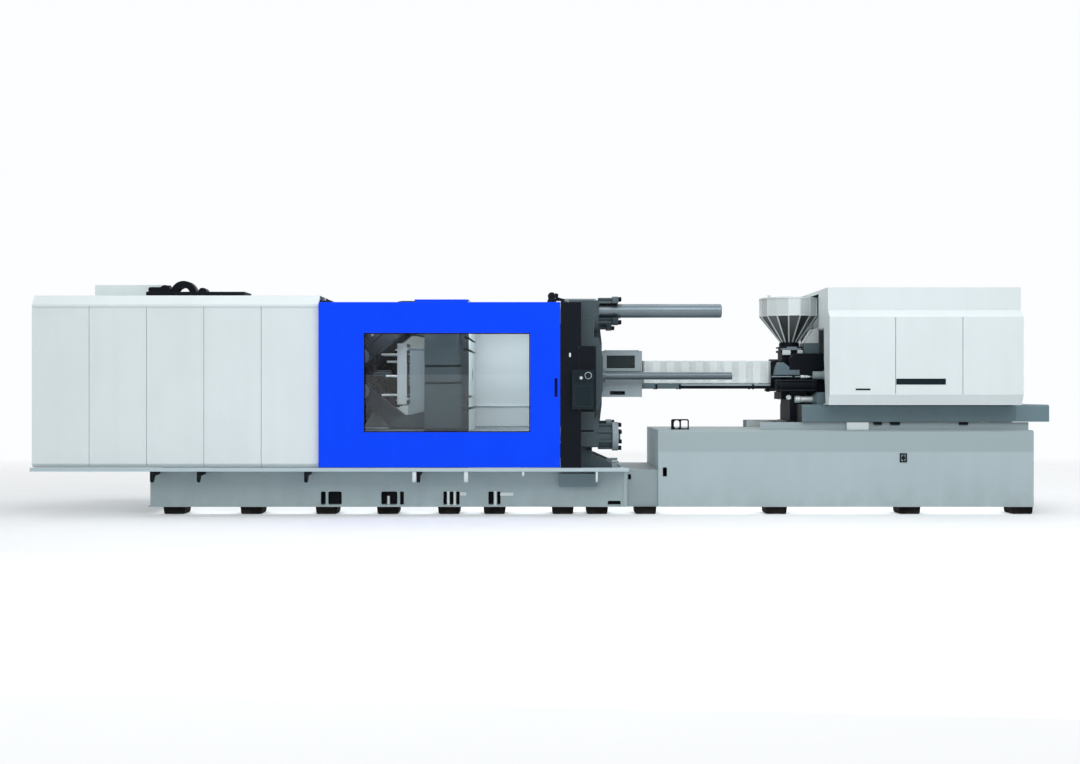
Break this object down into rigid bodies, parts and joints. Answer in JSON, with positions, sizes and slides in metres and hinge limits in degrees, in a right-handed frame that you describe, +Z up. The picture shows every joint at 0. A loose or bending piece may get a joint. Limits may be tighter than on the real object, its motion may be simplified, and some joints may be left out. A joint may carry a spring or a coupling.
{
  "type": "injection moulding machine",
  "caption": "Large electric injection moulding machine with a double toggle clamp, sliding safety doors, carriage-mounted barrel, hopper and covered injection drive.",
  "frame": {"origin": "on the floor under the middle of the machine", "axes": "+X from the clamp end to the injection end, +Y to the rear side, +Z up"},
  "size_m": [11.643, 2.404, 2.683],
  "materials": {
    "bare_steel": "satin",
    "bed_grey": "satin",
    "bed_light_grey": "satin",
    "black_paint": "satin",
    "black_plastic": "matt",
    "carriage_grey": "satin",
    "casting_grey": "satin",
    "dark_steel": "satin",
    "dark_window": "clear",
    "door_blue": "satin",
    "foot_rubber": "matt",
    "guard_grey": "satin",
    "panel_white": "satin",
    "red_plastic": "gloss",
    "stainless": "brushed",
    "window": "clear"
  },
  "bodies": {
    "machine": {"clamp_bed": "bed_grey", "bed_cross_members": "bed_grey", "injection_bed": "bed_light_grey", "levelling_feet": "foot_rubber", "front_cover_panels": "panel_white", "rear_cover_panels": "panel_white", "cover_roof": "panel_white", "cover_end_wall": "panel_white", "tailstock": "casting_grey", "tie_bars": "bare_steel", "tie_bar_nuts": "casting_grey", "die_height_nuts": "dark_steel", "fixed_platen": "casting_grey", "door_posts": "black_paint", "door_rails": "guard_grey", "clamp_motors": "black_paint", "lubrication_unit": "black_paint", "roof_box": "panel_white", "robot_base_plate": "guard_grey", "shift_rods": "bare_steel", "carriage_rails": "dark_steel", "nozzle_guard": "guard_grey", "hose_bracket": "black_paint", "control_panel": "black_plastic"},
    "moving_platen": {"moving_platen": "casting_grey", "ejector_frame": "guard_grey", "ejector_guide_rods": "bare_steel"},
    "ejector": {"ejector_plate": "guard_grey"},
    "upper_tail": {"upper_tail_links": "dark_steel", "upper_link_pins": "bare_steel"},
    "lower_tail": {"lower_tail_links": "dark_steel", "lower_link_pins": "bare_steel"},
    "upper_front": {"upper_front_links": "dark_steel"},
    "lower_front": {"lower_front_links": "dark_steel"},
    "crosshead": {"crosshead": "dark_steel"},
    "upper_cross": {"upper_cross_links": "dark_steel"},
    "lower_cross": {"lower_cross_links": "dark_steel"},
    "clamp_screw": {"clamp_ball_screw": "dark_steel"},
    "front_door": {"front_door": "door_blue", "front_door_window": "window"},
    "rear_door": {"rear_door": "panel_white"},
    "guard_hatch": {"guard_hatch": "guard_grey", "guard_hatch_window": "dark_window"},
    "emergency_stop": {"emergency_stop": "red_plastic"},
    "mode_selector": {"mode_selector": "black_plastic"},
    "bed_latch": {"bed_latch": "black_paint"},
    "carriage": {"carriage_base": "carriage_grey", "front_housing": "black_paint", "barrel": "bare_steel", "nozzle": "dark_steel", "barrel_cover": "stainless", "barrel_tray": "black_paint", "hopper": "stainless", "hopper_neck": "black_paint", "injection_cover": "panel_white", "drive_frame": "dark_steel"},
    "hopper_lid": {"hopper_lid": "stainless"},
    "hopper_gate": {"hopper_gate": "bare_steel"},
    "pusher": {"pusher_plate": "casting_grey"},
    "screw": {"plasticising_screw": "bare_steel"}
  },
  "joints": [
    {"name": "platen_slide", "type": "slide", "parent": "machine", "child": "moving_platen", "axis": [1, 0, 0], "range_m": [-0.4, 0.4]},
    {"name": "upper_tail_swing", "type": "hinge", "parent": "machine", "child": "upper_tail", "pos_m": [-2.451, 0, 2.29], "axis": [0, 1, 0], "range_deg": [-32.2, 32.2]},
    {"name": "lower_tail_swing", "type": "hinge", "parent": "machine", "child": "lower_tail", "pos_m": [-2.451, 0, 0.94], "axis": [0, 1, 0], "range_deg": [-32.2, 32.2]},
    {"name": "upper_knee", "type": "hinge", "parent": "upper_tail", "child": "upper_front", "pos_m": [-2.18208, 0, 1.81585], "axis": [0, 1, 0], "range_deg": [-49.6, 49.6]},
    {"name": "lower_knee", "type": "hinge", "parent": "lower_tail", "child": "lower_front", "pos_m": [-2.18208, 0, 1.41415], "axis": [0, 1, 0], "range_deg": [-49.6, 49.6]},
    {"name": "crosshead_slide", "type": "slide", "parent": "machine", "child": "crosshead", "axis": [1, 0, 0], "range_m": [-0.14, 0.14]},
    {"name": "upper_cross_swing", "type": "hinge", "parent": "crosshead", "child": "upper_cross", "pos_m": [-2.163, 0, 1.765], "axis": [0, 1, 0], "range_deg": [-2.4, 2.4]},
    {"name": "lower_cross_swing", "type": "hinge", "parent": "crosshead", "child": "lower_cross", "pos_m": [-2.163, 0, 1.465], "axis": [0, 1, 0], "range_deg": [-2.4, 2.4]},
    {"name": "clamp_screw_spin", "type": "hinge", "parent": "machine", "child": "clamp_screw", "pos_m": [-2.451, 0, 1.615], "axis": [1, 0, 0], "continuous": true},
    {"name": "ejector_slide", "type": "slide", "parent": "moving_platen", "child": "ejector", "axis": [1, 0, 0], "range_m": [0, 0.2]},
    {"name": "front_door_slide", "type": "slide", "parent": "machine", "child": "front_door", "axis": [-1, 0, 0], "range_m": [0, 1.9]},
    {"name": "rear_door_slide", "type": "slide", "parent": "machine", "child": "rear_door", "axis": [-1, 0, 0], "range_m": [0, 1.9]},
    {"name": "guard_hatch_swing", "type": "hinge", "parent": "machine", "child": "guard_hatch", "pos_m": [0, -0.31, 1.891], "axis": [-1, 0, 0], "range_deg": [0, 95]},
    {"name": "emergency_stop_press", "type": "slide", "parent": "machine", "child": "emergency_stop", "axis": [0, 1, 0], "range_m": [0, 0.006], "stiffness_N_per_m": 800},
    {"name": "mode_selector_turn", "type": "hinge", "parent": "machine", "child": "mode_selector", "pos_m": [0.45, -1.23, 1.585], "axis": [0, 1, 0], "range_deg": [-45, 45]},
    {"name": "bed_latch_turn", "type": "hinge", "parent": "machine", "child": "bed_latch", "pos_m": [4.087, -0.85, 0.646], "axis": [0, 1, 0], "range_deg": [0, 90]},
    {"name": "carriage_slide", "type": "slide", "parent": "machine", "child": "carriage", "axis": [-1, 0, 0], "range_m": [-0.08, 0.4]},
    {"name": "hopper_lid_swing", "type": "hinge", "parent": "carriage", "child": "hopper_lid", "pos_m": [2.928, 0, 2.538], "axis": [0, 1, 0], "range_deg": [0, 105]},
    {"name": "hopper_gate_slide", "type": "slide", "parent": "carriage", "child": "hopper_gate", "axis": [0, -1, 0], "range_m": [0, 0.12]},
    {"name": "injection_slide", "type": "slide", "parent": "carriage", "child": "pusher", "axis": [1, 0, 0], "range_m": [0, 0.4]},
    {"name": "screw_spin", "type": "hinge", "parent": "pusher", "child": "screw", "pos_m": [3, 0, 1.615], "axis": [1, 0, 0], "continuous": true}
  ],
  "couplings": [
    {"joint": "upper_tail_swing", "follows": "platen_slide", "rad_per_m": -1.3944},
    {"joint": "lower_tail_swing", "follows": "platen_slide", "rad_per_m": 1.3944},
    {"joint": "upper_knee", "follows": "platen_slide", "rad_per_m": 2.1491},
    {"joint": "lower_knee", "follows": "platen_slide", "rad_per_m": -2.1491},
    {"joint": "crosshead_slide", "follows": "platen_slide", "ratio": 0.345},
    {"joint": "upper_cross_swing", "follows": "platen_slide", "rad_per_m": 0.0902},
    {"joint": "lower_cross_swing", "follows": "platen_slide", "rad_per_m": -0.0902}
  ]
}
